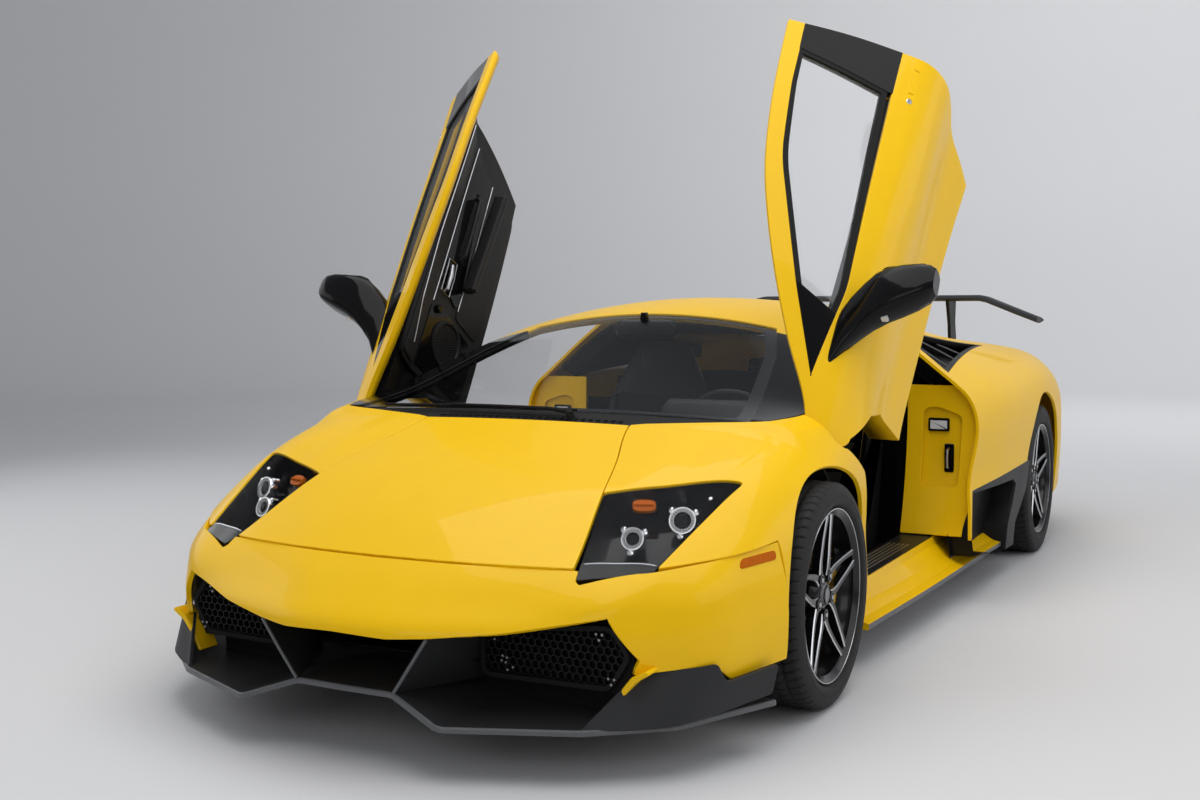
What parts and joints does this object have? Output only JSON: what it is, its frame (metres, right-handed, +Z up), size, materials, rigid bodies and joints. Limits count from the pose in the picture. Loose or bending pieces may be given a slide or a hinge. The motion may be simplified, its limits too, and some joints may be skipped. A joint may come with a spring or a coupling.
{
  "type": "supercar",
  "caption": "Two-seat mid-engined sports car with scissor doors standing open, rear wing, opening lids, steered front wheels and four turning wheels.",
  "frame": {"origin": "on the ground, in the middle of the car", "axes": "+Z up, -Y towards the nose, +X towards the left side of the car"},
  "size_m": [2.238, 4.699, 2.0263],
  "materials": {
    "paint": "pearl yellow, glossy",
    "black_trim": "satin black",
    "dark_grey": "matt dark grey",
    "glass": "clear tinted",
    "lamp": "black housing",
    "lens": "clear",
    "tail_lamp": "red",
    "interior": "black",
    "tub": "black",
    "tyre": "rubber",
    "rim": "gloss black, machined edges",
    "metal": "grey",
    "aluminium": "satin"
  },
  "bodies": {
    "body": {"wings": "paint", "front_bumper": "paint", "front_splitter": "dark_grey", "headlamp_covers": "lens", "headlamps": "lamp", "roof": "paint", "glazing": "glass", "cowl": "black_trim", "quarters": "paint", "side_intakes": "black_trim", "sills": "paint", "rear_fascia": "paint", "grilles": "black_trim", "tail_lamps": "tail_lamp", "diffuser": "dark_grey", "exhaust": "aluminium", "rear_wing": "dark_grey", "floor_tub": "tub", "bulkheads": "tub", "wheelhouses": "tub", "dashboard": "interior", "seats": "interior", "engine_block": "aluminium", "suspension": "metal"},
    "bonnet": {"bonnet": "paint"},
    "engine_lid": {"engine_lid": "paint"},
    "steering_wheel": {"steering_wheel": "interior"},
    "door_left": {"door_shell_left": "paint", "door_glass_left": "glass", "door_trim_left": "interior", "mirror_left": "black_trim"},
    "door_right": {"door_shell_right": "paint", "door_glass_right": "glass", "door_trim_right": "interior", "mirror_right": "black_trim"},
    "carrier_front_left": {"hub_carrier_left": "metal"},
    "carrier_front_right": {"hub_carrier_right": "metal"},
    "wheel_front_left": {"tyre_front_left": "tyre", "rim_front_left": "rim"},
    "wheel_front_right": {"tyre_front_right": "tyre", "rim_front_right": "rim"},
    "wheel_rear_left": {"tyre_rear_left": "tyre", "rim_rear_left": "rim"},
    "wheel_rear_right": {"tyre_rear_right": "tyre", "rim_rear_right": "rim"}
  },
  "joints": [
    {"name": "door_left_hinge", "type": "hinge", "parent": "body", "child": "door_left", "pos_m": [0.82, -1.14, 0.75], "axis": [1, 0, 0], "range_deg": [-57, 0]},
    {"name": "door_right_hinge", "type": "hinge", "parent": "body", "child": "door_right", "pos_m": [-0.82, -1.14, 0.75], "axis": [1, 0, 0], "range_deg": [-57, 0]},
    {"name": "bonnet_hinge", "type": "hinge", "parent": "body", "child": "bonnet", "pos_m": [0, -1.434, 0.77], "axis": [-1, 0, 0], "range_deg": [0, 48]},
    {"name": "engine_lid_hinge", "type": "hinge", "parent": "body", "child": "engine_lid", "pos_m": [0, 0.56, 1.085], "axis": [1, 0, 0], "range_deg": [0, 42]},
    {"name": "steer_left", "type": "hinge", "parent": "body", "child": "carrier_front_left", "pos_m": [0.746, -1.335, 0.3143], "axis": [0, 0, 1], "range_deg": [-30, 30]},
    {"name": "steer_right", "type": "hinge", "parent": "body", "child": "carrier_front_right", "pos_m": [-0.746, -1.335, 0.3143], "axis": [0, 0, 1], "range_deg": [-30, 30]},
    {"name": "steering_wheel_turn", "type": "hinge", "parent": "body", "child": "steering_wheel", "pos_m": [0.36, -0.64, 0.665], "axis": [0, 0.9063, 0.4226], "range_deg": [-450, 450]},
    {"name": "spin_front_left", "type": "hinge", "parent": "carrier_front_left", "child": "wheel_front_left", "pos_m": [0.8175, -1.335, 0.3143], "axis": [1, 0, 0], "continuous": true},
    {"name": "spin_rear_left", "type": "hinge", "parent": "body", "child": "wheel_rear_left", "pos_m": [0.8475, 1.33, 0.3291], "axis": [1, 0, 0], "continuous": true},
    {"name": "spin_front_right", "type": "hinge", "parent": "carrier_front_right", "child": "wheel_front_right", "pos_m": [-0.8175, -1.335, 0.3143], "axis": [1, 0, 0], "continuous": true},
    {"name": "spin_rear_right", "type": "hinge", "parent": "body", "child": "wheel_rear_right", "pos_m": [-0.8475, 1.33, 0.3291], "axis": [1, 0, 0], "continuous": true}
  ],
  "couplings": [
    {"joint": "steer_right", "follows": "steer_left", "ratio": 1},
    {"joint": "steering_wheel_turn", "follows": "steer_left", "ratio": 15}
  ]
}
